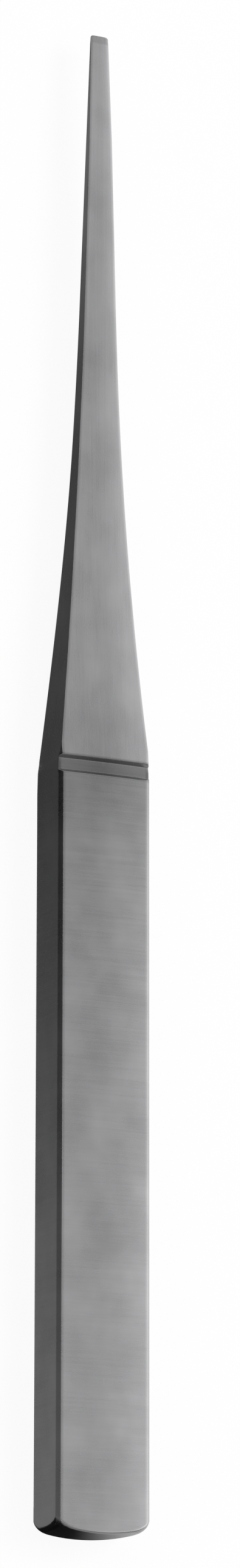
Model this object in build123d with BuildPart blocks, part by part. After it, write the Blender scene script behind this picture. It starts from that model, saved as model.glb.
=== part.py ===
# Small straight osteotome: a bone chisel forged and ground from one bar of stainless steel.
#
# It lies on the back face of its handle with its front face up. +Y points to the cutting
# edge, +Z out of the front face. The origin is under the middle of the tool, on the surface
# that it lies on. Sizes are in millimetres.

import os
from math import hypot

from build123d import *

overall_length = 125.0

# Handle: a flat bar with broken long edges
handle_length = 61.5      # from the top of the crown to the shoulder, where the blade begins
handle_width = 8.1
handle_thickness = 4.9
bar_edge_break = 0.3      # 45 degree break along the bar's four long edges

# Struck end: domed like part of a ball, so that a mallet meets it near its middle
crown_drop = 0.8          # how far the ball has fallen at the bar's corners
crown_rollover = 1.6      # radius by which it then rolls over into the corners
crown_edge_break = 0.2    # radius round the dome's rim

# Groove across the front face, centred on the shoulder
groove_width = 1.5        # at the face
groove_floor = 0.9
groove_depth = 0.4

# Blade seen from the front: a straight taper from the edge back to the neck, then a hollow
# flare up to the full width of the bar
tip_width = 1.6
tip_rounding = 0.25       # radius of the edge's two corners
neck_width = 2.85
neck_from_tip = 23.5

# Blade seen from the side: the front drops in one long sweep and then runs level, while the
# back leaves the bar below the shoulder, rises in a long reverse curve and ends in a taper
front_drop = 1.25         # from the bar's front face down to the blade's level front
front_sweep_from_tip = 29.0
heel_before_shoulder = 11.5
back_neck_from_tip = 35.3
back_neck_thickness = 1.4

# Cutting edge: a long bevel on both faces, then a short steeper one
bevel_length = 9.4
bevel_thickness = 0.72
edge_bevel_length = 0.7
edge_bevel_thickness = 0.24
edge_thickness = 0.05

struck_y = -overall_length / 2
tip_y = overall_length / 2
shoulder_y = struck_y + handle_length
heel_y = shoulder_y - heel_before_shoulder
neck_y = tip_y - neck_from_tip
front_sweep_y = tip_y - front_sweep_from_tip
back_neck_y = tip_y - back_neck_from_tip
bevel_y = tip_y - bevel_length
edge_bevel_y = tip_y - edge_bevel_length

half_width = handle_width / 2
mid_height = handle_thickness / 2
blade_front = handle_thickness - front_drop
edge_height = blade_front - bevel_thickness / 2

# Ball that the crown is a part of
corner_reach = hypot(half_width, mid_height)
crown_radius = (corner_reach**2 + crown_drop**2) / (2 * crown_drop)

with BuildPart() as osteotome:
    # Side outline, across the full width of the bar
    with BuildSketch(Plane.YZ):
        with BuildLine():
            Polyline(
                (shoulder_y, handle_thickness),
                (struck_y, handle_thickness),
                (struck_y, 0),
                (heel_y, 0),
            )
            back_taper = Line(
                (bevel_y, edge_height - bevel_thickness / 2),
                (back_neck_y, blade_front - back_neck_thickness),
            )
            Spline(back_taper @ 1, (heel_y, 0), tangents=(back_taper % 1, (-1, 0)))
            Polyline(
                back_taper @ 0,
                (edge_bevel_y, edge_height - edge_bevel_thickness / 2),
                (tip_y, edge_height - edge_thickness / 2),
                (tip_y, edge_height + edge_thickness / 2),
                (edge_bevel_y, edge_height + edge_bevel_thickness / 2),
                (bevel_y, blade_front),
                (front_sweep_y, blade_front),
            )
            TangentArc(
                (front_sweep_y, blade_front), (shoulder_y, handle_thickness), tangent=(-1, 0)
            )
        make_face()
    extrude(amount=half_width, both=True)

    # Front outline, kept where the two outlines cross
    with BuildSketch(Plane.XY):
        with BuildLine():
            taper = Line((tip_width / 2, tip_y), (neck_width / 2, neck_y))
            flare = TangentArc(taper @ 1, (half_width, shoulder_y), tangent=taper % 1)
            Polyline(flare @ 1, (half_width, struck_y), (0, struck_y))
            Line((0, tip_y), taper @ 0)
            mirror(about=Plane.YZ)
        outline = make_face()
        fillet(outline.vertices().group_by(Axis.Y)[-1], radius=tip_rounding)
    extrude(amount=handle_thickness, mode=Mode.INTERSECT)

    # The bar that the blank is forged from, with its long edges broken before the grinding
    with BuildSketch(Plane.XZ.offset(-tip_y)):
        with Locations((0, mid_height)):
            bar = Rectangle(handle_width, handle_thickness)
        chamfer(bar.vertices(), length=bar_edge_break)
    extrude(amount=overall_length, mode=Mode.INTERSECT)

    # Domed struck end, kept inside a round shape whose dome rolls over into its side
    with BuildSketch(Plane.YZ):
        with BuildLine():
            dome = RadiusArc(
                (struck_y, mid_height),
                (struck_y + crown_drop, mid_height + corner_reach),
                crown_radius,
            )
            Polyline(
                dome @ 1,
                (tip_y, mid_height + corner_reach),
                (tip_y, mid_height),
                dome @ 0,
            )
        envelope = make_face()
        fillet(envelope.vertices().sort_by_distance(dome @ 1)[0], radius=crown_rollover)
    revolve(axis=Axis((0, 0, mid_height), (0, 1, 0)), mode=Mode.INTERSECT)
    rim = osteotome.faces().filter_by(GeomType.SPHERE)[0].edges()
    fillet(rim, radius=crown_edge_break)

    # Groove across the front
    with BuildSketch(Plane.YZ):
        with BuildLine():
            Polyline(
                (shoulder_y - groove_width / 2, handle_thickness),
                (shoulder_y - groove_floor / 2, handle_thickness - groove_depth),
                (shoulder_y + groove_floor / 2, handle_thickness - groove_depth),
                (shoulder_y + groove_width / 2, handle_thickness),
                close=True,
            )
        make_face()
    extrude(amount=half_width, both=True, mode=Mode.SUBTRACT)

osteotome.part.label = "osteotome"

os.makedirs("parts", exist_ok=True)
export_step(osteotome.part, "parts/osteotome.step")
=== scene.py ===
from math import cos, pi, radians, sin

import bmesh
import bpy
from bpy.props import FloatProperty, FloatVectorProperty, PointerProperty
from bpy.types import Operator, Panel, PropertyGroup
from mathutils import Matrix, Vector


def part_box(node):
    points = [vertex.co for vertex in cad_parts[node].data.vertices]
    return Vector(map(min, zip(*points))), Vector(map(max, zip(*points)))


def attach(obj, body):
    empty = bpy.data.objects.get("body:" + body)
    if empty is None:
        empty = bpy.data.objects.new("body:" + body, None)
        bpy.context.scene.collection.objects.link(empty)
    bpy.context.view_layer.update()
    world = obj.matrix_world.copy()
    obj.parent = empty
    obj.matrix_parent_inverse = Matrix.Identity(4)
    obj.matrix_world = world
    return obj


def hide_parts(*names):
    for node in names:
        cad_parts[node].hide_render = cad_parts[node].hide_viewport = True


bl_info = {
    "name": "Straight osteotome",
    "version": (1, 0, 0),
    "blender": (4, 5, 0),
    "location": "3D View > Sidebar > Osteotome",
    "description": "Ground and satin finished bone chisel, with its studio stage",
    "category": "Object",
}

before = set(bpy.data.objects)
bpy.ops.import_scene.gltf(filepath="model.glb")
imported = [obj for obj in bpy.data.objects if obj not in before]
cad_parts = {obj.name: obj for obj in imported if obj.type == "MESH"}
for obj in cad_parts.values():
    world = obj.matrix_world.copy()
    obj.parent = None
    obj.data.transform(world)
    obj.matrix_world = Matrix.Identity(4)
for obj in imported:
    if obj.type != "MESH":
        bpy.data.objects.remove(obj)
bar_low, bar_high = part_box("osteotome")


def length(name, description, default):
    """A size of the tool, in metres."""
    return FloatProperty(
        name=name,
        description=description,
        default=default,
        min=0.0,
        precision=6,
        subtype="DISTANCE",
        unit="LENGTH",
    )


class ToolSizes(PropertyGroup):
    """Sizes of the tool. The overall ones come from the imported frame."""

    overall_length: length("Overall Length", "From the crown to the cutting edge", bar_high.y - bar_low.y)
    handle_width: length("Handle Width", "Across the bar's front face", bar_high.x - bar_low.x)
    handle_thickness: length("Handle Thickness", "From back face to front face", bar_high.z - bar_low.z)
    handle_length: length("Handle Length", "From the crown to the shoulder", 0.0615)
    edge_break: length("Edge Break", "Break along the bar's four long edges", 0.00033)
    edge_softness: length("Edge Softness", "How far polishing has eased each side of the break", 0.00003)
    blade_edge_break: length("Blade Edge Break", "Break left on the blade's ground edges", 0.00004)
    face_crown: length("Face Crown", "How far polishing has lowered the faces at their sides", 0.00010)
    crown_drop: length("Crown Drop", "How far the struck end has fallen at the bar's corners", 0.0008)
    crown_rollover: length("Crown Rollover", "Radius by which the struck end rolls over there", 0.0016)
    crown_edge_break: length("Crown Edge Break", "Radius round the struck end's rim", 0.0002)
    groove_width: length("Groove Width", "Width of the groove at the face", 0.0015)
    groove_floor: length("Groove Floor", "Width of the groove's floor", 0.0009)
    groove_depth: length("Groove Depth", "Depth of the groove across the front", 0.0004)
    groove_softness: length("Groove Softness", "Rounding of the groove's lips and corners", 0.00006)
    tip_width: length("Tip Width", "Width of the cutting edge", 0.0016)
    tip_rounding: length("Tip Rounding", "Radius of the cutting edge's two corners", 0.00025)
    neck_width: length("Neck Width", "Width where the taper meets the flare", 0.00285)
    neck_from_tip: length("Neck from Tip", "From the cutting edge to the neck", 0.0235)
    front_drop: length("Front Drop", "From the bar's front face down to the blade's", 0.00125)
    front_sweep_from_tip: length("Front Sweep from Tip", "From the edge to the foot of the sweep", 0.029)
    heel_before_shoulder: length("Heel before Shoulder", "From the shoulder to the back's rise", 0.0115)
    back_neck_from_tip: length("Back Neck from Tip", "From the edge to the top of the back's curve", 0.0353)
    back_neck_thickness: length("Back Neck Thickness", "Thickness of the blade there", 0.0014)
    bevel_length: length("Bevel Length", "Length of the long bevel", 0.0094)
    bevel_thickness: length("Bevel Thickness", "Thickness where the bevel begins", 0.00072)
    edge_bevel_length: length("Edge Bevel Length", "Length of the short steep bevel", 0.0007)
    edge_bevel_thickness: length("Edge Bevel Thickness", "Thickness where it begins", 0.00024)
    edge_thickness: length("Edge Thickness", "Thickness of the cutting edge", 0.00005)


class SteelFinish(PropertyGroup):
    """Colour and surface of the satin stainless steel, with its painted sheen and painted shade."""

    colour: FloatVectorProperty(
        name="Steel Colour",
        description="Colour of the bare steel",
        subtype="COLOR",
        size=3,
        min=0.0,
        max=1.0,
        default=(0.56, 0.56, 0.57),
    )
    roughness: FloatProperty(
        name="Satin Roughness",
        description="Mean roughness of the satin finish",
        subtype="FACTOR",
        min=0.0,
        max=1.0,
        default=0.28,
    )
    # Painted sheen: brightens the faces towards their edges
    painted_edge_sheen: FloatProperty(
        name="Painted Edge Sheen",
        description="How much painted sheen brightens the faces near their edges",
        subtype="FACTOR",
        min=0.0,
        max=1.0,
        default=0.2,
    )
    # Painted shade: darkens the groove's floor, walls and lips
    groove_painted_shade: FloatProperty(
        name="Groove Painted Shade",
        description="How much painted shade darkens the groove",
        subtype="FACTOR",
        min=0.0,
        max=1.0,
        default=0.32,
    )
    # Painted shade: darkens the faces close to the groove
    near_groove_painted_shade: FloatProperty(
        name="Near Groove Painted Shade",
        description="How much painted shade darkens the faces close to the groove",
        subtype="FACTOR",
        min=0.0,
        max=1.0,
        default=0.14,
    )
    # Painted shade: darkens the handle's broken edges
    break_painted_shade: FloatProperty(
        name="Break Painted Shade",
        description="How much painted shade darkens the handle's broken edges",
        subtype="FACTOR",
        min=0.0,
        max=1.0,
        default=0.25,
    )
    streaks: FloatProperty(
        name="Streak Strength",
        description="How plainly the grinding lines show",
        subtype="FACTOR",
        min=0.0,
        max=1.0,
        default=0.5,
    )


class StageLook(PropertyGroup):
    """Colours of the stage and levels of its lights."""

    floor_colour: FloatVectorProperty(
        name="Floor Colour",
        description="Colour of the plain floor",
        subtype="COLOR",
        size=3,
        min=0.0,
        max=1.0,
        default=(1.0, 1.0, 1.0),
    )
    room_level: FloatProperty(
        name="Room Level",
        description="How much light the white room sheds, where 1 is white",
        min=0.0,
        default=0.6,
    )
    card_level: FloatProperty(
        name="Card Level",
        description="Brightness of the dark cards beside the tool at their darkest",
        min=0.0,
        default=0.070,
    )
    silk_level: FloatProperty(
        name="Silk Level",
        description="Brightness of the silk that the front faces mirror, where 1 is white",
        min=0.0,
        default=0.72,
    )
    silk_band: FloatProperty(
        name="Silk Band",
        description="How much dimmer the silk is where its two lengths meet",
        subtype="FACTOR",
        min=0.0,
        max=1.0,
        default=0.6,
    )
    lamp_level: FloatProperty(
        name="Lamp Level",
        description="How much light the key lamp adds to the floor, where 1 is white",
        min=0.0,
        default=0.4,
    )


class Rule:
    """A number that nodes work out, so that a rule reads like ordinary arithmetic."""

    def __init__(self, tree, socket):
        self.tree = tree
        self.socket = socket

    def __add__(self, other):
        return reckon("ADD", self, other)

    def __radd__(self, other):
        return reckon("ADD", other, self)

    def __sub__(self, other):
        return reckon("SUBTRACT", self, other)

    def __rsub__(self, other):
        return reckon("SUBTRACT", other, self)

    def __mul__(self, other):
        return reckon("MULTIPLY", self, other)

    def __rmul__(self, other):
        return reckon("MULTIPLY", other, self)

    def __truediv__(self, other):
        return reckon("DIVIDE", self, other)

    def __rtruediv__(self, other):
        return reckon("DIVIDE", other, self)


def feed(tree, value, socket):
    """Links a rule to a socket, or writes a plain number there."""
    if isinstance(value, Rule):
        tree.links.new(value.socket, socket)
    else:
        socket.default_value = value


def reckon(operation, *values):
    """One Math node on rules and numbers."""
    tree = next(value.tree for value in values if isinstance(value, Rule))
    node = tree.nodes.new("ShaderNodeMath")
    node.operation = operation
    for value, socket in zip(values, node.inputs):
        feed(tree, value, socket)
    return Rule(tree, node.outputs[0])


def root(value):
    return reckon("SQRT", value)


def lesser(first, second):
    return reckon("MINIMUM", first, second)


def greater(first, second):
    return reckon("MAXIMUM", first, second)


def between(low, value, high):
    return lesser(high, greater(low, value))


def beyond(value, limit, then, otherwise):
    """The rule then where value is above limit, and otherwise elsewhere."""
    test = reckon("GREATER_THAN", value, limit)
    node = test.tree.nodes.new("GeometryNodeSwitch")
    node.input_type = "FLOAT"
    feed(test.tree, test, node.inputs["Switch"])
    feed(test.tree, otherwise, node.inputs["False"])
    feed(test.tree, then, node.inputs["True"])
    return Rule(test.tree, node.outputs[0])


def straight(along, start, start_value, end, end_value):
    """Straight line through two stations."""
    return start_value + (along - start) * ((end_value - start_value) / (end - start))


# What each corner of a section is made of, from a face round the break to the side: shares of the
# break, of the softness and of the guard strip, taken off the half width and off the half height
EASED = cos(radians(45))
CORNER = (
    ((1, 1, 1), (0, 0, 0)),
    ((1, 1, 0), (0, 0, 0)),
    ((1, 0.076, 0), (0, 0.184, 0)),
    ((1, -EASED, 0), (0, EASED, 0)),
    ((0, EASED, 0), (1, -EASED, 0)),
    ((0, 0.184, 0), (1, 0.076, 0)),
    ((0, 0, 0), (1, 1, 0)),
    ((0, 0, 0), (1, 1, 1)),
)
FACE_COLUMNS = (-0.86, -0.72, -0.54, -0.36, -0.18, 0.0, 0.18, 0.36, 0.54, 0.72, 0.86)
SIDE_COLUMNS = (-0.8, -0.6, -0.4, -0.2, 0.0, 0.2, 0.4, 0.6, 0.8)
GUARD = 0.0002

# A break takes at most this share of the half height, its softness at most this share of the break,
# and a guard strip at most this share of what they leave
MOST_BREAK = 0.5
MOST_SOFTNESS = 0.35
MOST_GUARD = 0.3

# Where the struck end is divided: rings on its dome, as shares of the outline, and rises from its rim.
# The rim and the cutting edge's corners are rounded in the same number of steps
END_RINGS = (0.15, 0.3, 0.45, 0.6, 0.72, 0.83, 0.92, 0.97)
RIM_RISES = (0.00008, 0.0002, 0.0005, 0.001, 0.0017, 0.0025, 0.0034)
ROUND_STEPS = 8

# Where the groove is divided: steps out from its lips, and steps to either side of a lip or a corner
APPROACH = 0.00025
LIP = 0.000025
LIP_STEPS = (4, 2, 1, 0, -1, -2, -4)

# How far apart the sections are, and how far up the bar the struck end's dome still bends them
HANDLE_SPACING = 0.0025
BLADE_SPACING = 0.0009
TIP_SPACING = 0.00015
DOME_FADE = 0.0045

# Rough shape of the blank, so that no two of its points lie together before the grinding
ROUGH_HALF_WIDTH = 0.004
ROUGH_HALF_HEIGHT = 0.002


def section_points():
    """The points round a section: share of the half width and its trims, then the same for the height."""
    whole = (0, 0, 0)
    trimmed = (1, 1, 1)
    points = [(share, trimmed, 1, whole) for share in FACE_COLUMNS]
    points += [(1, wide, 1, high) for wide, high in CORNER]
    points += [(1, whole, -share, trimmed) for share in SIDE_COLUMNS]
    points += [(1, wide, -1, high) for wide, high in reversed(CORNER)]
    points += [(-share, trimmed, -1, whole) for share in FACE_COLUMNS]
    points += [(-1, wide, -1, high) for wide, high in CORNER]
    points += [(-1, whole, share, trimmed) for share in SIDE_COLUMNS]
    points += [(-1, wide, 1, high) for wide, high in reversed(CORNER)]
    return points


def stations(sizes):
    """The sections along the bar: place, share of the dome, inset and scale about the middle."""
    struck = -sizes.overall_length / 2
    tip = sizes.overall_length / 2
    shoulder = struck + sizes.handle_length
    rim = sizes.crown_edge_break
    sections = []
    for scale in END_RINGS:
        sections.append((struck, 1.0, rim, scale))
    for step in range(ROUND_STEPS + 1):
        turn = pi / 2 * step / ROUND_STEPS
        sections.append((struck + rim * (1 - cos(turn)), 1.0, rim * (1 - sin(turn)), 1.0))
    for rise in RIM_RISES:
        sections.append((struck + rim + rise, 1 - rise / DOME_FADE, 0.0, 1.0))
    sections.append((struck + rim + DOME_FADE, 0.0, 0.0, 1.0))

    half_groove = sizes.groove_width / 2
    half_floor = sizes.groove_floor / 2
    near = [half_groove + APPROACH * step for step in (4, 2.4, 1.2)]
    near += [half_groove + LIP * step for step in LIP_STEPS]
    near += [half_floor + LIP * step for step in LIP_STEPS]
    near += [half_floor * 0.45, half_floor * 0.15]
    places = evenly(sections[-1][0], shoulder - near[0], HANDLE_SPACING)[1:]
    places += [shoulder - offset for offset in near[1:]]
    places += [shoulder + offset for offset in reversed(near)]
    bevel = tip - sizes.bevel_length
    edge_bevel = tip - sizes.edge_bevel_length
    places += evenly(places[-1], bevel - 0.0001, BLADE_SPACING)[1:]
    places += [bevel, bevel + 0.0001]
    places += evenly(places[-1], edge_bevel - 0.00006, BLADE_SPACING)[1:]
    places += [edge_bevel, edge_bevel + 0.00006]
    corner = tip - sizes.tip_rounding * 1.05
    places += evenly(places[-1], corner, TIP_SPACING)[1:]
    for step in range(1, ROUND_STEPS + 1):
        places.append(tip - sizes.tip_rounding * (1 - sin(pi / 2 * step / ROUND_STEPS)))
    return sections + [(place, 0.0, 0.0, 1.0) for place in places]


def evenly(start, end, spacing):
    """Places from start to end, both counted, about as far apart as the spacing."""
    count = max(1, round((end - start) / spacing))
    return [start + (end - start) * step / count for step in range(count + 1)]


def bar_blank(sizes):
    """A closed tube of sections, whose points know their place on the bar but have no shape yet."""
    points = section_points()
    sections = stations(sizes)
    names = ("station", "domed", "inset", "scale")
    names += ("side", "side_break", "side_soft", "side_guard")
    names += ("rise", "rise_break", "rise_soft", "rise_guard")
    rows = [
        (*section, side, *wide, rise, *high)
        for section in sections
        for side, wide, rise, high in points
    ]
    first_end = len(rows)
    rows.append((sections[0][0], 1.0, 0.0, 0.0) + (0.0,) * 8)
    rows.append((sections[-1][0], 0.0, 0.0, 0.0) + (0.0,) * 8)
    count = len(points)
    faces = []
    for ring in range(len(sections) - 1):
        for place in range(count):
            here = ring * count + place
            there = ring * count + (place + 1) % count
            faces.append((here, there, there + count, here + count))
    last = (len(sections) - 1) * count
    for place in range(count):
        following = (place + 1) % count
        faces.append((first_end, following, place))
        faces.append((first_end + 1, last + place, last + following))
    mesh = bpy.data.meshes.new("bar_blank")
    rough = [(row[4] * ROUGH_HALF_WIDTH, row[0], row[8] * ROUGH_HALF_HEIGHT) for row in rows]
    mesh.from_pydata(rough, [], faces)
    for column, name in enumerate(names):
        attribute = mesh.attributes.new(name, "FLOAT", "POINT")
        attribute.data.foreach_set("value", [row[column] for row in rows])
    return mesh, names


def grinding_tree(material):
    """The rule by which the blank is ground: outlines from the front and from the side, broken edges,
    a groove across the front and a domed struck end."""
    tree = bpy.data.node_groups.new("Ground steel bar", "GeometryNodeTree")
    tree.interface.new_socket("Geometry", in_out="INPUT", socket_type="NodeSocketGeometry")
    tree.interface.new_socket("Geometry", in_out="OUTPUT", socket_type="NodeSocketGeometry")
    entry = tree.nodes.new("NodeGroupInput")
    for name in ToolSizes.__annotations__:
        socket = tree.interface.new_socket(name, in_out="INPUT", socket_type="NodeSocketFloat")
        socket.subtype = "DISTANCE"
    size = {socket.name: Rule(tree, socket) for socket in entry.outputs}

    def known(name):
        node = tree.nodes.new("GeometryNodeInputNamedAttribute")
        node.data_type = "FLOAT"
        node.inputs["Name"].default_value = name
        return Rule(tree, node.outputs["Attribute"])

    station = known("station")
    half_bar = size["handle_width"] / 2
    thickness = size["handle_thickness"]
    tip = size["overall_length"] / 2
    struck = size["overall_length"] / -2
    shoulder = struck + size["handle_length"]

    # Front outline: a straight taper, a hollow flare that leaves it smoothly, and rounded corners
    half_tip = size["tip_width"] / 2
    half_neck = size["neck_width"] / 2
    neck = tip - size["neck_from_tip"]
    lean = (half_neck - half_tip) / size["neck_from_tip"]
    slant = root(1 + lean * lean)
    taper = half_tip + (tip - station) * lean
    reach_x = half_bar - half_neck
    reach_y = shoulder - neck
    flare = (reach_x * reach_x + reach_y * reach_y) * slant / (2 * (reach_x + lean * reach_y))
    flare_x = half_neck + flare / slant
    flare_y = neck + flare * lean / slant
    flared = flare_x - root(flare * flare - (station - flare_y) * (station - flare_y))
    rounding = size["tip_rounding"]
    corner_x = half_tip + rounding * lean - rounding * slant
    corner_y = tip - rounding
    rounded = corner_x + root(rounding * rounding - (station - corner_y) * (station - corner_y))
    half_width = beyond(station, neck, taper, flared)
    half_width = beyond(station, shoulder, half_width, half_bar)
    half_width = beyond(station, corner_y + rounding * lean / slant, rounded, half_width)

    # Side outline, front: level, then one long sweep up to the shoulder
    blade_front = thickness - size["front_drop"]
    edge_height = blade_front - size["bevel_thickness"] / 2
    bevel = tip - size["bevel_length"]
    edge_bevel = tip - size["edge_bevel_length"]
    sweep_end = tip - size["front_sweep_from_tip"]
    run = sweep_end - shoulder
    sweep = (run * run + size["front_drop"] * size["front_drop"]) / (2 * size["front_drop"])
    swept = blade_front + sweep - root(sweep * sweep - (station - sweep_end) * (station - sweep_end))
    front = beyond(station, sweep_end, blade_front, swept)
    front = beyond(station, shoulder, front, thickness)
    half_steep = size["edge_bevel_thickness"] / 2
    half_edge = size["edge_thickness"] / 2
    long_bevel = straight(station, bevel, size["bevel_thickness"] / 2, edge_bevel, half_steep)
    steep_bevel = straight(station, edge_bevel, half_steep, tip, half_edge)
    half_bevel = beyond(station, edge_bevel, steep_bevel, long_bevel)
    front = beyond(station, bevel, edge_height + half_bevel, front)

    # Side outline, back: a reverse curve from the heel, then a taper to the bevel
    heel = shoulder - size["heel_before_shoulder"]
    back_neck = tip - size["back_neck_from_tip"]
    back_rise = blade_front - size["back_neck_thickness"]
    bevel_back = edge_height - size["bevel_thickness"] / 2
    back_slope = (bevel_back - back_rise) / (bevel - back_neck)
    back_run = back_neck - heel
    share = (station - heel) / back_run
    square = share * share
    cube = square * share
    curved = (3 * square - 2 * cube) * back_rise + (cube - square) * back_run * back_slope
    back = beyond(station, heel, curved, 0.0)
    back = beyond(station, back_neck, back_rise + (station - back_neck) * back_slope, back)
    back = beyond(station, bevel, edge_height - half_bevel, back)

    # Break left along the edges: the bar's own where it isn't ground away, a trace elsewhere
    narrowed = half_bar - half_width
    front_cut = thickness - front
    front_break = greater(size["blade_edge_break"], size["edge_break"] - narrowed - front_cut)
    back_break = greater(size["blade_edge_break"], size["edge_break"] - narrowed - back)

    # Groove across the front, with soft lips and corners
    from_groove = reckon("ABSOLUTE", station - shoulder)
    wall_run = (size["groove_width"] - size["groove_floor"]) / 2
    steepness = size["groove_depth"] / wall_run
    wall = thickness + (from_groove - size["groove_width"] / 2) * steepness
    floor = thickness - size["groove_depth"]
    softness = size["groove_softness"]
    groove = reckon("SMOOTH_MAX", wall, floor, softness)
    grooved = reckon("SMOOTH_MIN", front, groove, softness)
    left_break = greater(size["blade_edge_break"], front_break - (front - grooved))
    front = grooved

    half_height = (front - back) / 2
    middle = (front + back) / 2
    on_front = reckon("GREATER_THAN", known("rise"), -0.5)
    edge_break = back_break + (left_break - back_break) * on_front
    edge_break = lesser(edge_break, half_height * MOST_BREAK)
    edge_soft = lesser(size["edge_softness"], edge_break * MOST_SOFTNESS)
    inset = known("inset")
    half_width = half_width - inset
    half_height = half_height - inset
    wide_guard = lesser(GUARD, (half_width - edge_break - edge_soft) * MOST_GUARD)
    high_guard = lesser(GUARD, (half_height - edge_break - edge_soft) * MOST_GUARD)
    wide = half_width - known("side_break") * edge_break
    wide = wide - known("side_soft") * edge_soft - known("side_guard") * wide_guard
    high = half_height - known("rise_break") * edge_break
    high = high - known("rise_soft") * edge_soft - known("rise_guard") * high_guard
    scale = known("scale")
    x = wide * known("side") * scale
    from_middle = x / half_width
    crown = size["face_crown"] * half_width / half_bar
    crowned = known("rise") * crown * from_middle * from_middle
    z = middle + (high * known("rise") - crowned) * scale

    # Struck end: part of a ball that rolls over into the bar's corners
    corner_reach = root(half_bar * half_bar + thickness * thickness / 4)
    drop = size["crown_drop"]
    ball = (corner_reach * corner_reach + drop * drop) / (2 * drop)
    rollover = size["crown_rollover"]
    roll_x = corner_reach - rollover
    roll_y = ball - root((ball - rollover) * (ball - rollover) - roll_x * roll_x)
    roll_from = roll_x * ball / (ball - rollover)
    reach_squared = x * x + (z - thickness / 2) * (z - thickness / 2)
    reach = root(reach_squared)
    on_ball = ball - root(ball * ball - reach_squared)
    on_roll = roll_y - root(rollover * rollover - (reach - roll_x) * (reach - roll_x))
    dome = beyond(reach, roll_from, on_roll, on_ball)
    y = station + dome * known("domed")

    place = tree.nodes.new("ShaderNodeCombineXYZ")
    feed(tree, x, place.inputs["X"])
    feed(tree, y, place.inputs["Y"])
    feed(tree, z, place.inputs["Z"])
    grind = tree.nodes.new("GeometryNodeSetPosition")
    tree.links.new(entry.outputs["Geometry"], grind.inputs["Geometry"])
    tree.links.new(place.outputs[0], grind.inputs["Position"])
    mark = tree.nodes.new("GeometryNodeStoreNamedAttribute")
    mark.data_type = "FLOAT"
    mark.domain = "POINT"
    mark.inputs["Name"].default_value = "across"
    feed(tree, from_middle, mark.inputs["Value"])
    tree.links.new(grind.outputs["Geometry"], mark.inputs["Geometry"])
    smooth = tree.nodes.new("GeometryNodeSetShadeSmooth")
    tree.links.new(mark.outputs["Geometry"], smooth.inputs["Geometry"])
    realize = tree.nodes.new("GeometryNodeRealizeInstances")
    tree.links.new(smooth.outputs["Geometry"], realize.inputs["Geometry"])
    finish = tree.nodes.new("GeometryNodeSetMaterial")
    finish.inputs["Material"].default_value = material
    tree.links.new(realize.outputs["Geometry"], finish.inputs["Geometry"])
    leave = tree.nodes.new("NodeGroupOutput")
    tree.links.new(finish.outputs["Geometry"], leave.inputs["Geometry"])
    return tree


def ground_bar(sizes, material):
    """The tool's one piece of steel, as a plain mesh at the origin."""
    blank, names = bar_blank(sizes)
    carrier = bpy.data.objects.new("bar_blank", blank)
    bpy.context.scene.collection.objects.link(carrier)
    tree = grinding_tree(material)
    modifier = carrier.modifiers.new("Grind", "NODES")
    modifier.node_group = tree
    for item in tree.interface.items_tree:
        if item.in_out == "INPUT" and item.socket_type == "NodeSocketFloat":
            modifier[item.identifier] = getattr(sizes, item.name)
    bpy.context.view_layer.update()
    evaluated = carrier.evaluated_get(bpy.context.evaluated_depsgraph_get())
    mesh = bpy.data.meshes.new_from_object(evaluated)
    carrier.modifiers.remove(modifier)
    bpy.data.objects.remove(carrier)
    for name in names:
        mesh.attributes.remove(mesh.attributes[name])
    mesh.name = "ground_bar"
    work = bmesh.new()
    work.from_mesh(mesh)
    bmesh.ops.recalc_face_normals(work, faces=work.faces)
    open_edges = [edge for edge in work.edges if len(edge.link_faces) != 2]
    work.to_mesh(mesh)
    work.free()
    if open_edges:
        raise RuntimeError(f"the ground bar has {len(open_edges)} open edges")
    piece = bpy.data.objects.new("ground_bar", mesh)
    bpy.context.scene.collection.objects.link(piece)
    return piece


# Grain of the finish, in repeats per metre along X, Y and Z
BLADE_LINES = (7000, 90, 7000)
HANDLE_LINES = (120, 6000, 120)
BLADE_BANDS = (1500, 110, 1500)
HANDLE_BANDS = (230, 1400, 230)
CLOUDS = (300, 220, 300)

# How strongly each grain shows: lines and bands are also multiplied by the streak strength
LINE_TONE = 0.26
BAND_TONE = 0.26
CLOUD_TONE = 0.46
LINE_ROUGHNESS = 0.16
CLOUD_ROUGHNESS = 0.08
SCRATCH_DEPTH = 0.000004
BREAK_SMOOTHNESS = 0.85
HANDLE_TO_BLADE = 0.0005

# The painted sheen and the broken edges go by the squared share of the half width: what the painted sheen is
# reckoned from and where it levels off, where a break ends at the side, and how soft a break's borders are
SHEEN_FROM = 0.2
SHEEN_TO = 0.8
BREAK_END = 0.998
BREAK_BORDER = 0.02

# Soft borders of the groove's painted shade, how far the painted shade beside the groove reaches, and how
# much stronger that is on the handle than on the blade
GROOVE_LIP = 0.00014
GROOVE_MARGIN = 0.00003
GROOVE_BORDER = 0.00002
PAINTED_SHADE_REACH = 0.006
HANDLE_PAINTED_SHADE = 1.5


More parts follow.
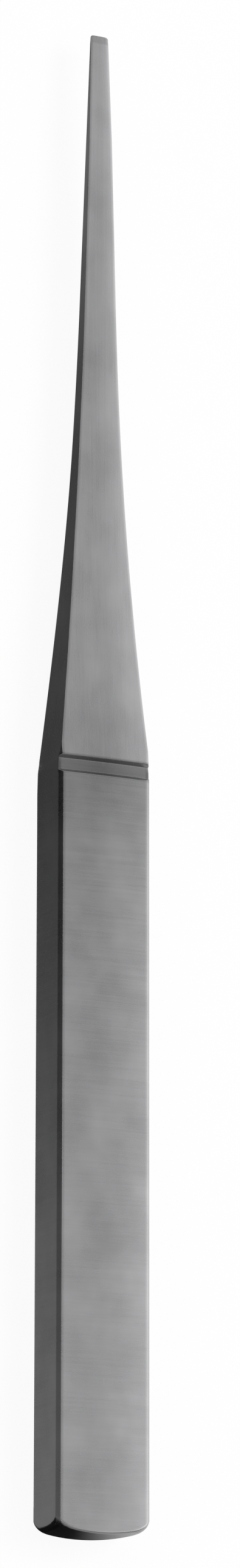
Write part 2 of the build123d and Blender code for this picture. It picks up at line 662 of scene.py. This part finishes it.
def satin_steel(finish, sizes):
    """Satin stainless steel, with fine lines along the blade and across the handle, faint clouds, painted
    sheen towards the faces' edges, and painted shade in and beside the groove and on the handle's broken
    edges.
    """
    material = bpy.data.materials.new("Satin stainless steel")
    material.use_nodes = True
    tree = material.node_tree
    tree.nodes.clear()
    output = tree.nodes.new("ShaderNodeOutputMaterial")
    shader = tree.nodes.new("ShaderNodeBsdfPrincipled")
    tree.links.new(shader.outputs["BSDF"], output.inputs["Surface"])
    shader.inputs["Metallic"].default_value = 1.0
    coordinates = tree.nodes.new("ShaderNodeTexCoord")

    def grain(scales, detail, roughness):
        mapping = tree.nodes.new("ShaderNodeMapping")
        mapping.inputs["Scale"].default_value = scales
        tree.links.new(coordinates.outputs["Object"], mapping.inputs["Vector"])
        noise = tree.nodes.new("ShaderNodeTexNoise")
        noise.inputs["Scale"].default_value = 1.0
        noise.inputs["Detail"].default_value = detail
        noise.inputs["Roughness"].default_value = roughness
        tree.links.new(mapping.outputs["Vector"], noise.inputs["Vector"])
        return Rule(tree, noise.outputs["Fac"])

    blade_lines = grain(BLADE_LINES, 3.0, 0.6)
    handle_lines = grain(HANDLE_LINES, 3.0, 0.6)
    blade_bands = grain(BLADE_BANDS, 2.0, 0.5)
    handle_bands = grain(HANDLE_BANDS, 2.0, 0.5)
    clouds = grain(CLOUDS, 2.0, 0.5) - 0.5
    place = tree.nodes.new("ShaderNodeSeparateXYZ")
    tree.links.new(coordinates.outputs["Object"], place.inputs["Vector"])
    along = Rule(tree, place.outputs["Y"])
    shoulder = sizes.handle_length - sizes.overall_length / 2
    on_blade = between(0.0, (along - shoulder) / HANDLE_TO_BLADE, 1.0)

    # Painted sheen brightens the faces towards their edges, and painted shade darkens the handle's broken
    # edges
    mark = tree.nodes.new("ShaderNodeAttribute")
    mark.attribute_name = "across"
    across = Rule(tree, mark.outputs["Fac"])
    across_squared = across * across
    painted_sheen = (lesser(SHEEN_TO, across_squared) - SHEEN_FROM) * finish.painted_edge_sheen
    break_start = 1 - (sizes.edge_break - sizes.edge_softness) / (sizes.handle_width / 2)
    on_break = between(0.0, (across_squared - break_start**2) / BREAK_BORDER, 1.0)
    on_break = on_break * between(0.0, (BREAK_END - across_squared) / BREAK_BORDER, 1.0)
    on_break = on_break * (1 - on_blade)
    lines = handle_lines + (blade_lines - handle_lines) * on_blade - 0.5
    lines = lines * (1 - BREAK_SMOOTHNESS * on_break)
    bands = handle_bands + (blade_bands - handle_bands) * on_blade - 0.5

    # Painted shade darkens the groove's floor and walls and just past its lips, and painted shade darkens
    # the faces close to it
    floor = sizes.handle_thickness - sizes.groove_depth
    from_groove = reckon("ABSOLUTE", along - shoulder)
    above_floor = Rule(tree, place.outputs["Z"]) - (floor - sizes.face_crown - GROOVE_MARGIN)
    painted_groove_shade = between(0.0, (sizes.groove_width / 2 + GROOVE_LIP - from_groove) / GROOVE_LIP, 1.0)
    painted_groove_shade = painted_groove_shade * between(0.0, above_floor / GROOVE_BORDER, 1.0)
    # Painted shade on the faces, strongest next to the groove and fading with distance from it
    painted_shade_near_groove = finish.near_groove_painted_shade * (HANDLE_PAINTED_SHADE - (HANDLE_PAINTED_SHADE - 1) * on_blade)
    painted_shade_near_groove = painted_shade_near_groove / (1 + from_groove * from_groove / PAINTED_SHADE_REACH**2)

    shade = 1.0 + lines * (LINE_TONE * finish.streaks) + bands * (BAND_TONE * finish.streaks)
    # Painted sheen towards the faces' edges is added to the tone here
    shade = shade + clouds * CLOUD_TONE + painted_sheen
    # Painted shade close to the groove, and painted shade in the groove and on its lips, darken the tone
    # here
    shade = shade * (1 - painted_shade_near_groove) * (1 - painted_groove_shade * finish.groove_painted_shade)
    # Painted shade on the handle's broken edges
    shade = shade * (1 - on_break * finish.break_painted_shade)
    tone = tree.nodes.new("ShaderNodeVectorMath")
    tone.operation = "SCALE"
    tone.inputs[0].default_value = finish.colour
    feed(tree, shade, tone.inputs["Scale"])
    tree.links.new(tone.outputs["Vector"], shader.inputs["Base Color"])
    rough = finish.roughness + lines * (LINE_ROUGHNESS * finish.streaks) + clouds * CLOUD_ROUGHNESS
    feed(tree, rough, shader.inputs["Roughness"])
    bump = tree.nodes.new("ShaderNodeBump")
    bump.inputs["Strength"].default_value = finish.streaks
    bump.inputs["Distance"].default_value = SCRATCH_DEPTH
    feed(tree, lines, bump.inputs["Height"])
    tree.links.new(bump.outputs["Normal"], shader.inputs["Normal"])
    return material


class OSTEOTOME_OT_ground_bar(Operator):
    """Make the ground and finished steel bar that is the whole tool"""

    bl_idname = "osteotome.ground_bar"
    bl_label = "Ground Bar"

    def execute(self, context):
        scene = context.scene
        steel = satin_steel(scene.osteotome_finish, scene.osteotome_sizes)
        piece = ground_bar(scene.osteotome_sizes, steel)
        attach(piece, "root")
        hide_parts("osteotome")
        return {"FINISHED"}


# The silk overhead: its place, and its rise in level per metre towards +X
SILK_LEFT = -0.25
SILK_RIGHT = 0.75
SILK_NEAR = -0.60
SILK_FAR = 0.90
SILK_HEIGHT = 0.5
SILK_SLOPE = 2.0
SILK_LEAST = 0.35

# Where the silk is dimmer: in a band across it, beyond the tip, and below the middle. For the last two,
# where the dimming begins, over what length it grows, and how much it takes
BAND_AT = 0.146
BAND_WIDTH = 0.05
FAR_DIM_AT = 0.38
FAR_DIM_OVER = 0.12
FAR_DIM = 0.5
NEAR_DIM_AT = 0.05
NEAR_DIM_OVER = 0.08
NEAR_DIM = 0.14

# The cards on the floor: where they end, and how high above it they lie
CARD_LEFT = -0.25
CARD_END = 0.30
SIDE_CARD_HEIGHT = 0.00002
SIDE_CARD_GAP = 0.00005
END_CARD_HEIGHT = 0.0001
END_CARD_TOP = -0.0621
END_CARD_UNDER_TOOL = -0.06

# The walls that stand to the left and below the struck end
WALL_LEFT = -0.30
WALL_BELOW = -0.40
WALL_REACH = 0.60
WALL_TOP = 0.42
DARK_WALL_TOP = 0.32
DARK_WALL_END = 0.17
END_WALL_TOP = 0.30

# How much of the floor's own white is seen, beside the light and shadow that fall on it
FLOOR_GLOW = 0.92

# The camera that took the picture, and the lamp
LENS = 118.789
SENSOR = 36.0
EYE = (-0.172395, -0.105924, 0.368053)
EYE_TURN = (14.4083, -25.5688, 0.0687)
LAMP = (0.35, 0.1, 0.6)
LAMP_SIZE = 0.3


def flat_card(name, corners, material):
    """A flat card of the stage."""
    mesh = bpy.data.meshes.new(name)
    mesh.from_pydata(corners, [], [range(len(corners))])
    mesh.materials.append(material)
    card = bpy.data.objects.new(name, mesh)
    bpy.context.scene.collection.objects.link(card)
    return card


def seen_or_mirrored(tree):
    """1 for what is seen straight, in metal or through glass, and 0 for light that falls on matte things."""
    rays = tree.nodes.new("ShaderNodeLightPath")
    seen = greater(Rule(tree, rays.outputs["Is Camera Ray"]), Rule(tree, rays.outputs["Is Glossy Ray"]))
    return greater(seen, Rule(tree, rays.outputs["Is Transmission Ray"]))


def white_floor(colour):
    """White where it is seen or mirrored, and it still takes the object's shadow."""
    material = bpy.data.materials.new("White floor")
    material.use_nodes = True
    tree = material.node_tree
    tree.nodes.clear()
    output = tree.nodes.new("ShaderNodeOutputMaterial")
    matte = tree.nodes.new("ShaderNodeBsdfDiffuse")
    matte.inputs["Color"].default_value = (*colour, 1)
    glow = tree.nodes.new("ShaderNodeEmission")
    glow.inputs["Color"].default_value = (*colour, 1)
    glow.inputs["Strength"].default_value = 1.0
    blend = tree.nodes.new("ShaderNodeMixShader")
    feed(tree, seen_or_mirrored(tree) * FLOOR_GLOW, blend.inputs["Fac"])
    tree.links.new(matte.outputs["BSDF"], blend.inputs[1])
    tree.links.new(glow.outputs["Emission"], blend.inputs[2])
    tree.links.new(blend.outputs["Shader"], output.inputs["Surface"])
    return material


def graded_card(name, axis, dark, dark_level, light, light_level):
    """Card stock that runs along one axis from a dark level to a lighter one."""
    material = bpy.data.materials.new(name)
    material.use_nodes = True
    tree = material.node_tree
    tree.nodes.clear()
    output = tree.nodes.new("ShaderNodeOutputMaterial")
    coordinates = tree.nodes.new("ShaderNodeTexCoord")
    place = tree.nodes.new("ShaderNodeSeparateXYZ")
    tree.links.new(coordinates.outputs["Object"], place.inputs["Vector"])
    grade = tree.nodes.new("ShaderNodeMapRange")
    grade.interpolation_type = "SMOOTHSTEP"
    grade.inputs["From Min"].default_value = dark
    grade.inputs["From Max"].default_value = light
    grade.inputs["To Min"].default_value = dark_level
    grade.inputs["To Max"].default_value = light_level
    tree.links.new(place.outputs[axis], grade.inputs["Value"])
    glow = tree.nodes.new("ShaderNodeEmission")
    tree.links.new(grade.outputs["Result"], glow.inputs["Strength"])
    tree.links.new(glow.outputs["Emission"], output.inputs["Surface"])
    return material


def flag(name, corners, material):
    """A card that only the steel mirrors: the camera and the floor's light pass it by."""
    card = flat_card(name, corners, material)
    card.visible_camera = False
    card.visible_diffuse = False
    card.visible_shadow = False


def lying(x_from, x_to, y_from, y_to, height):
    """Corners of a level card."""
    return [(x_from, y_from, height), (x_to, y_from, height), (x_to, y_to, height), (x_from, y_to, height)]


def upright(x, y_from, y_to, z_from, z_to):
    """Corners of a card that stands across X."""
    return [(x, y_from, z_from), (x, y_to, z_from), (x, y_to, z_to), (x, y_from, z_to)]


def silk_panel(level, band_depth):
    """A large silk overhead, lighter towards +X, with a dimmer band across it where two lengths meet."""
    material = bpy.data.materials.new("silk")
    material.use_nodes = True
    tree = material.node_tree
    tree.nodes.clear()
    output = tree.nodes.new("ShaderNodeOutputMaterial")
    coordinates = tree.nodes.new("ShaderNodeTexCoord")
    place = tree.nodes.new("ShaderNodeSeparateXYZ")
    tree.links.new(coordinates.outputs["Object"], place.inputs["Vector"])
    across = Rule(tree, place.outputs["X"])
    along = Rule(tree, place.outputs["Y"])
    from_band = (along - BAND_AT) / BAND_WIDTH
    dimmed = band_depth / (1 + from_band * from_band)
    strength = greater(SILK_LEAST, level + (across - (SILK_LEFT + SILK_RIGHT) / 2) * SILK_SLOPE)
    strength = strength * (1 - FAR_DIM * between(0.0, (along - FAR_DIM_AT) / FAR_DIM_OVER, 1.0))
    strength = strength * (1 - NEAR_DIM * between(0.0, (NEAR_DIM_AT - along) / NEAR_DIM_OVER, 1.0))
    glow = tree.nodes.new("ShaderNodeEmission")
    feed(tree, strength * (1 - dimmed), glow.inputs["Strength"])
    tree.links.new(glow.outputs["Emission"], output.inputs["Surface"])
    flag("silk", lying(SILK_LEFT, SILK_RIGHT, SILK_NEAR, SILK_FAR, SILK_HEIGHT), material)


def key_lamp(place, aim, size, level):
    """The lamp that gives the floor its soft shadow. The steel mirrors the silk and the cards instead."""
    lamp = bpy.data.lights.new("key_lamp", "AREA")
    lamp.shape = "SQUARE"
    lamp.size = size
    distance = (Vector(aim) - Vector(place)).length
    lamp.energy = level * pi * pi * distance * distance
    box = bpy.data.objects.new("key_lamp", lamp)
    box.location = place
    box.rotation_euler = (Vector(aim) - Vector(place)).to_track_quat("-Z", "Y").to_euler()
    box.visible_glossy = False
    bpy.context.scene.collection.objects.link(box)


def white_room(level):
    """A white studio, at the given level for the light that falls on matte things."""
    world = bpy.data.worlds.new("Studio")
    world.use_nodes = True
    tree = world.node_tree
    tree.nodes.clear()
    output = tree.nodes.new("ShaderNodeOutputWorld")
    back = tree.nodes.new("ShaderNodeBackground")
    back.inputs["Color"].default_value = (1, 1, 1, 1)
    seen = seen_or_mirrored(tree)
    feed(tree, level + seen * (1 - level), back.inputs["Strength"])
    tree.links.new(back.outputs["Background"], output.inputs["Surface"])
    bpy.context.scene.world = world


class OSTEOTOME_OT_stage(Operator):
    """Make the floor, the soft light, the cards beside the tool and the camera"""

    bl_idname = "osteotome.stage"
    bl_label = "Stage"

    def execute(self, context):
        scene = context.scene
        look = scene.osteotome_stage
        scene.view_settings.view_transform = "Standard"
        flat_card("floor", lying(-3.0, 3.0, -3.0, 3.0, 0), white_floor(look.floor_colour))
        white_room(look.room_level)

        # Dark cards on the floor, which the left side and the struck end mirror
        side = bar_low.x - SIDE_CARD_GAP
        dark = look.card_level
        flag(
            "card_beside_handle",
            lying(CARD_LEFT, side, -CARD_END, 0.0, SIDE_CARD_HEIGHT),
            graded_card("Card beside handle", "Y", -0.004, dark, -0.070, dark * 2.9),
        )
        flag(
            "card_beside_blade",
            lying(CARD_LEFT, 0.003, 0.0, CARD_END, SIDE_CARD_HEIGHT),
            graded_card("Card beside blade", "Y", 0.026, dark, 0.057, dark * 2.4),
        )
        top = END_CARD_TOP
        under_tool = END_CARD_UNDER_TOOL
        outline = [(CARD_LEFT, -CARD_END), (CARD_END, -CARD_END), (CARD_END, top), (-side, top)]
        outline += [(-side, under_tool), (side, under_tool), (side, top), (CARD_LEFT, top)]
        flag(
            "card_at_struck_end",
            [(x, y, END_CARD_HEIGHT) for x, y in outline],
            graded_card("Card at struck end", "X", -0.0010, 0.003, 0.0065, 0.55),
        )

        # Walls, which the broken left edge and the struck end mirror
        flag(
            "tall_card",
            upright(WALL_LEFT, -WALL_REACH, DARK_WALL_END, 0.0, DARK_WALL_TOP),
            graded_card("Tall card", "Y", 0.050, 0.0, -0.030, 0.19),
        )
        flag(
            "tall_card_beside_blade",
            upright(WALL_LEFT, DARK_WALL_END, WALL_REACH, 0.0, DARK_WALL_TOP),
            graded_card("Tall card beside blade", "Y", DARK_WALL_END, 0.0, 0.27, 0.45),
        )
        flag(
            "upper_card",
            upright(WALL_LEFT, -WALL_REACH, WALL_REACH, DARK_WALL_TOP, WALL_TOP),
            graded_card("Upper card", "Z", DARK_WALL_TOP, 0.04, WALL_TOP, 0.45),
        )
        flag(
            "tall_card_at_struck_end",
            [
                (-WALL_REACH, WALL_BELOW, 0.0),
                (WALL_REACH, WALL_BELOW, 0.0),
                (WALL_REACH, WALL_BELOW, END_WALL_TOP),
                (-WALL_REACH, WALL_BELOW, END_WALL_TOP),
            ],
            graded_card("Tall card at struck end", "X", -0.3, 0.16, 0.3, 0.22),
        )
        silk_panel(look.silk_level, look.silk_band)
        key_lamp(LAMP, (0, 0, 0), LAMP_SIZE, look.lamp_level)

        camera = bpy.data.cameras.new("camera")
        camera.lens = LENS
        camera.sensor_width = SENSOR
        camera.clip_start = 0.01
        camera.clip_end = 20.0
        eye = bpy.data.objects.new("camera", camera)
        eye.location = EYE
        eye.rotation_euler = [radians(turn) for turn in EYE_TURN]
        scene.collection.objects.link(eye)
        scene.camera = eye
        return {"FINISHED"}


class OSTEOTOME_PT_panel(Panel):
    """Sizes, finish and stage of the osteotome"""

    bl_label = "Osteotome"
    bl_idname = "OSTEOTOME_PT_panel"
    bl_space_type = "VIEW_3D"
    bl_region_type = "UI"
    bl_category = "Osteotome"

    def draw(self, context):
        scene = context.scene
        for group in (scene.osteotome_sizes, scene.osteotome_finish, scene.osteotome_stage):
            box = self.layout.box()
            for name in group.__annotations__:
                box.prop(group, name)
        self.layout.operator("osteotome.ground_bar")
        self.layout.operator("osteotome.stage")


CLASSES = (
    ToolSizes,
    SteelFinish,
    StageLook,
    OSTEOTOME_OT_ground_bar,
    OSTEOTOME_OT_stage,
    OSTEOTOME_PT_panel,
)


def register():
    for entry in CLASSES:
        bpy.utils.register_class(entry)
    bpy.types.Scene.osteotome_sizes = PointerProperty(type=ToolSizes)
    bpy.types.Scene.osteotome_finish = PointerProperty(type=SteelFinish)
    bpy.types.Scene.osteotome_stage = PointerProperty(type=StageLook)


def unregister():
    del bpy.types.Scene.osteotome_stage
    del bpy.types.Scene.osteotome_finish
    del bpy.types.Scene.osteotome_sizes
    for entry in reversed(CLASSES):
        bpy.utils.unregister_class(entry)


def main():
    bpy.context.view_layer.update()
    register()
    bpy.ops.osteotome.ground_bar()
    bpy.ops.osteotome.stage()


if __name__ == "__main__":
    main()
